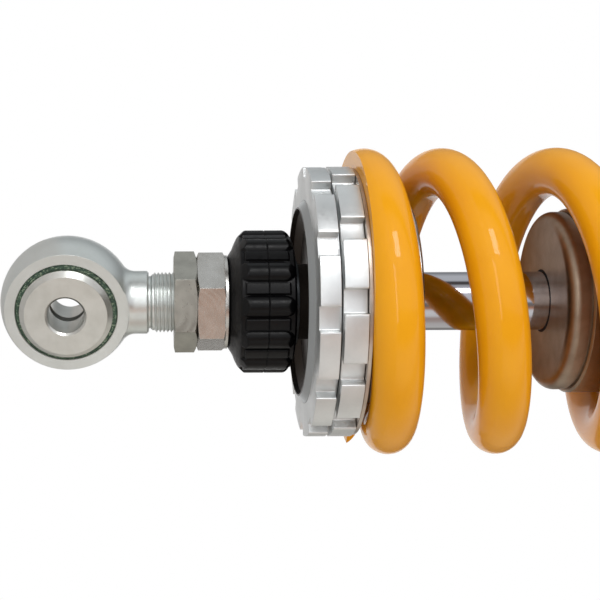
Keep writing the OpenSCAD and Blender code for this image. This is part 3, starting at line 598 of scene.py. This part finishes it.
# Toothed rings: hook-spanner notches with rounded corners, and a bevel all round
rings = {
    "notches": 12,
    "notchWidth": 6.1 * mm,
    "notchDepth": 2.8 * mm,
    "cornerRadius": 0.4 * mm,
    "toothSteps": 12,
    "boreGap": 0.08 * mm,
    "boreSteps": 180,
    "bevel": 0.35 * mm,
    "bevelSteps": 3,
    "hubStep": 0.7 * mm,  # how far the hub stands out of the lock ring's teeth
    "hubHeight": 2 * mm,
    "hubInset": 1.2 * mm,  # from the notches' floor
    "hubCorner": 0.2 * mm,
    "hubSteps": 144,
    "lockTurn": radians(15),
    "preloadTurn": radians(8),
}
ringBore = outerRadius("spring_seat_sleeve") + rings["boreGap"]


# The edge of a ring: one notch and the tooth after it, repeated round Z
def notchedEdge(shape, radius, firstNotch, z):
    half, pitch = rings["notchWidth"] / 2, 2 * pi / rings["notches"]
    lip, floor = sqrt(radius ** 2 - half ** 2), radius - rings["notchDepth"]
    notch = [shape.verts.new((*p, z)) for p in ((lip, -half), (floor, -half), (floor, half), (lip, half))]
    for pair in zip(notch, notch[1:]):
        shape.edges.new(pair)
    bmesh.ops.spin(shape, geom=notch[-1:], cent=(0, 0, 0), axis=(0, 0, 1), dvec=(0, 0, 0),
                   angle=pitch - 2 * atan2(half, lip), steps=rings["toothSteps"], use_merge=False,
                   use_duplicate=False)
    bmesh.ops.spin(shape, geom=shape.verts[:] + shape.edges[:], cent=(0, 0, 0), axis=(0, 0, 1), dvec=(0, 0, 0),
                   angle=2 * pi - pitch, steps=rings["notches"] - 1, use_merge=False, use_duplicate=True)
    bmesh.ops.remove_doubles(shape, verts=shape.verts, dist=0.0001 * mm)
    bmesh.ops.rotate(shape, verts=shape.verts, cent=(0, 0, 0), matrix=Matrix.Rotation(firstNotch, 3, "Z"))
    bmesh.ops.contextual_create(shape, geom=shape.edges[:])
    roundCorners(shape, [v for v in shape.verts if v.calc_edge_angle() > radians(45)], rings["cornerRadius"], 4)


# Cut as a plate with a bore, then raised and bevelled
def makeRing(name, node, firstNotch, step):
    low, high = span(node)
    shape = bmesh.new()
    notchedEdge(shape, outerRadius(node), firstNotch, low)
    bmesh.ops.create_circle(shape, cap_ends=False, segments=rings["boreSteps"], radius=ringBore,
                            matrix=Matrix.Translation((0, 0, low)))
    bmesh.ops.triangle_fill(shape, edges=shape.edges[:], use_beauty=True)
    raised = bmesh.ops.extrude_face_region(shape, geom=shape.faces[:], use_keep_orig=True)["geom"]
    bmesh.ops.translate(shape, verts=[v for v in raised if isinstance(v, bmesh.types.BMVert)],
                        vec=(0, 0, high - step - low))
    bmesh.ops.recalc_face_normals(shape, faces=shape.faces)
    sharp = [e for e in shape.edges if len(e.link_faces) == 2 and e.calc_face_angle(0) > radians(60)]
    bmesh.ops.bevel(shape, geom=sharp, offset=rings["bevel"], offset_type="OFFSET", affect="EDGES",
                    segments=rings["bevelSteps"], profile=0.5, material=-1, clamp_overlap=True)
    return finish(name, shape, hard=50)


# The lock ring's hub stands out of its teeth and bears on the ring behind
def makeHub():
    high = span("preload_lock_ring")[1]
    low = high - rings["hubHeight"]
    outer = outerRadius("preload_lock_ring") - rings["notchDepth"] - rings["hubInset"]
    shape = bmesh.new()
    outline(shape, [(ringBore, 0, low), (outer, 0, low), (outer, 0, high), (ringBore, 0, high)], rings["hubCorner"])
    turnRound(shape, rings["hubSteps"])
    return finish("lock_ring_hub", shape)


stand(makeRing("lock_ring_body", "preload_lock_ring", rings["lockTurn"], rings["hubStep"]),
      "preload_lock_ring", "ring_aluminium", "preload_lock_ring")
stand(makeRing("preload_ring_body", "preload_ring", rings["preloadTurn"], 0),
      "preload_ring", "ring_aluminium", "preload_ring")
stand(makeHub(), "preload_lock_ring", "ring_aluminium")
print("rings ready")

# Fine thread on the lower stud, as a ridge that climbs round the plain root and dies away at both ends.
# The ridge's section is given as radii, and heights in pitches.
thread = {
    "pitch": 1.0 * mm,
    "root": 7.6 * mm,
    "section": [(7.3 * mm, -0.4), (7.6 * mm, -0.46), (8.16 * mm, -0.09), (8.2 * mm, 0.0),
                (8.16 * mm, 0.09), (7.6 * mm, 0.46), (7.3 * mm, 0.4)],
    "aboveEye": 23.3 * mm,
    "intoNut": 5 * mm,
    "stepsPerTurn": 72,
    "endStart": 0.3,
    "endGrowth": 1.2,
    "endLeast": 0.05,
}


def makeThread():
    pitch, root = thread["pitch"], thread["root"]
    start, end = lowerEyeZ + thread["aboveEye"], span("lock_nut")[0] + thread["intoNut"]
    turns = (end - start) / pitch
    shape = bmesh.new()
    verts = [shape.verts.new((r, 0, start + up * pitch)) for r, up in thread["section"]]
    edges = [shape.edges.new(pair) for pair in zip(verts, verts[1:] + verts[:1])]
    steps = ceil(turns * thread["stepsPerTurn"])
    bmesh.ops.spin(shape, geom=verts + edges, cent=(0, 0, 0), axis=(0, 0, 1), dvec=(0, 0, (end - start) / steps),
                   angle=2 * pi * turns, steps=steps, use_merge=False, use_duplicate=False)
    bmesh.ops.holes_fill(shape, edges=[e for e in shape.edges if e.is_boundary], sides=len(verts))
    for vert in shape.verts:
        away = vert.co.xy.length
        if away > root:
            fromEnd = min(vert.co.z - start, end - vert.co.z) / pitch + thread["endStart"]
            grown = min(1.0, max(thread["endLeast"], thread["endGrowth"] * fromEnd))
            vert.co.xy *= (root + (away - root) * grown) / away
    return finish("stud_thread", shape, hard=40)


stand(makeThread(), "lower_eye", "eye_aluminium")
print("thread ready")

# Rubber bump stop with two lobes
bumpStop = {
    "bore": 8.12 * mm,
    "roundness": 0.94,
    "waistGap": 0.15 * mm,
    "gapToHead": 0.1 * mm,
    "lobeSteps": 10,
    "steps": 96,
}


def makeBumpStop():
    low, high = span("bump_stop")
    lobe, away, gap = (high - low) / 4, outerRadius("bump_stop"), bumpStop["waistGap"]
    middle = low + 2 * lobe
    side = [(bumpStop["bore"], low), (away, low), (away, middle - gap), (away - lobe, middle), (away, middle + gap),
            (away, high), (bumpStop["bore"], high)]
    shape = bmesh.new()
    outline(shape, [(r, 0, z) for r, z in side], lobe * bumpStop["roundness"], corners=(1, 2, 4, 5),
            steps=bumpStop["lobeSteps"])
    turnRound(shape, bumpStop["steps"])
    made = finish("bump_stop_rubber", shape)
    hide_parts("bump_stop")
    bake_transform(made)
    dress(made, "black_rubber")


makeBumpStop()
print("bump stop ready")

# Studio: bands of light round the shock's axis, white behind it, a wide soft box to the left and one above.
# The camera looks square at the axis, its picture shifted so that the lower half fills it.
view = {
    "axisDistance": 335 * mm,
    "lookAt": 24 * mm,
    "azimuth": radians(-22),
    "roll": radians(0.24),
    "lens": 73.57,  # this and the sensor are in millimetres
    "sensor": 36,
    "shift": (0.2405, 0.0037),
    "clipStart": 20 * mm,
}
backward = Vector((sin(view["azimuth"]), -cos(view["azimuth"]), 0))
rightward = Vector((0, 0, 1))
upward = backward.cross(rightward)
target = Vector((0, 0, lowerEyeZ + view["lookAt"]))


def makeCamera():
    camera = bpy.data.objects.new("camera", bpy.data.cameras.new("camera"))
    bpy.context.scene.collection.objects.link(camera)
    camera.data.lens = view["lens"]
    camera.data.sensor_width = view["sensor"]
    camera.data.shift_x, camera.data.shift_y = view["shift"]
    camera.data.clip_start = view["clipStart"]
    roll = view["roll"]
    turn = Matrix((rightward * cos(roll) - upward * sin(roll), upward * cos(roll) + rightward * sin(roll),
                   backward)).transposed()
    camera.matrix_world = Matrix.Translation(target + backward * view["axisDistance"]) @ turn.to_4x4()
    bpy.context.scene.camera = camera


# Rectangular lamps that face the shock, placed by their degrees to the right of and above the camera's line
softBoxes = {
    "left_box": {"right": -26, "up": 4, "size": (500 * mm, 600 * mm), "radiance": 2.6},
    "top_box": {"right": 10, "up": 40, "size": (260 * mm, 260 * mm), "radiance": 7.5},
}
lampAim = target + rightward * 60 * mm
lampDistance = 800 * mm


def makeSoftBox(name, box):
    lamp = bpy.data.lights.new(name, "AREA")
    lamp.shape = "RECTANGLE"
    lamp.size, lamp.size_y = box["size"]
    lamp.energy = pi * lamp.size * lamp.size_y * box["radiance"]
    piece = bpy.data.objects.new(name, lamp)
    bpy.context.scene.collection.objects.link(piece)
    right, up = radians(box["right"]), radians(box["up"])
    facing = backward * (cos(up) * cos(right)) + rightward * (cos(up) * sin(right)) + upward * sin(up)
    side = upward.cross(facing).normalized()
    turn = Matrix((side, facing.cross(side), facing)).transposed()
    piece.matrix_world = Matrix.Translation(lampAim + facing * lampDistance) @ turn.to_4x4()


# Colour of the studio by degrees over the camera's line, all the way round the shock's axis
room = {
    -180: "#5C5856", -146: "#76726E", -122: "#DCDBD4", -100: "#D8D4CE", -86: "#C6B8AE", -72: "#C0ACA2",
    -60: "#EEEDE8", -48: "#F8F8F5", -38: "#F2EEE8", -28: "#CC9272", -19: "#8E8078", -9: "#8F8F8D", -3: "#E2E2E6",
    38: "#F4F4F6", 50: "#D0D2D6", 62: "#C8CACC", 70: "#5A5654", 79: "#5A5654", 88: "#DADEE0", 112: "#DCE0E2",
    140: "#9A9EA0", 180: "#5C5856",
}
# Cosines from the camera's line between which the room fades to the white field behind the shock
whiteField = {"From Min": 0.895, "From Max": 0.915}


def makeRoom():
    world = bpy.data.worlds.new("studio")
    world.use_nodes = True
    tree = world.node_tree
    tree.nodes.clear()
    way = add(tree, "TexCoord").outputs["Generated"]
    above, back, front = [add(tree, "VectorMath", {0: way, 1: axis}, operation="DOT_PRODUCT")
                          for axis in (upward, backward, -backward)]
    turn = add(tree, "Math", {0: above, 1: back}, operation="ARCTAN2")
    bands = add(tree, "ValToRGB", {"Fac": add(tree, "MapRange", {"Value": turn, "From Min": -pi, "From Max": pi})})
    stops = bands.color_ramp.elements
    stops[0].color, stops[1].color = linear(room[-180]), linear(room[180])
    for degrees, colour in list(room.items())[1:-1]:
        stops.new((degrees + 180) / 360).color = linear(colour)
    share = add(tree, "MapRange", {"Value": front, **whiteField})
    colour = add(tree, "Mix", {"Factor": share, "A": bands.outputs["Color"], "B": linear("#FFFFFF")},
                 data_type="RGBA")
    add(tree, "OutputWorld", {"Surface": add(tree, "Background", {"Color": colour, "Strength": 1.0})})
    bpy.context.scene.world = world


# A round, matt white floor, well under the shock
ground = {
    "drop": 100 * mm,
    "radius": 750 * mm,
    "steps": 96,
    "colour": "#F2F2F2",
    "roughness": 0.8,
}


def makeFloor():
    bpy.ops.mesh.primitive_circle_add(vertices=ground["steps"], radius=ground["radius"], fill_type="NGON",
                                      location=(0, 0, cadBox[0].z - ground["drop"]))
    floor = bpy.context.object
    floor.name = "floor"
    made, tree = newMaterial("pale_floor")[:2]
    cover(tree, {"Base Color": linear(ground["colour"]), "Roughness": ground["roughness"]})
    floor.data.materials.append(made)


makeCamera()
makeRoom()
makeFloor()
for boxName, boxSettings in softBoxes.items():
    makeSoftBox(boxName, boxSettings)
bpy.context.scene.view_settings.view_transform = "Standard"
print("studio ready")
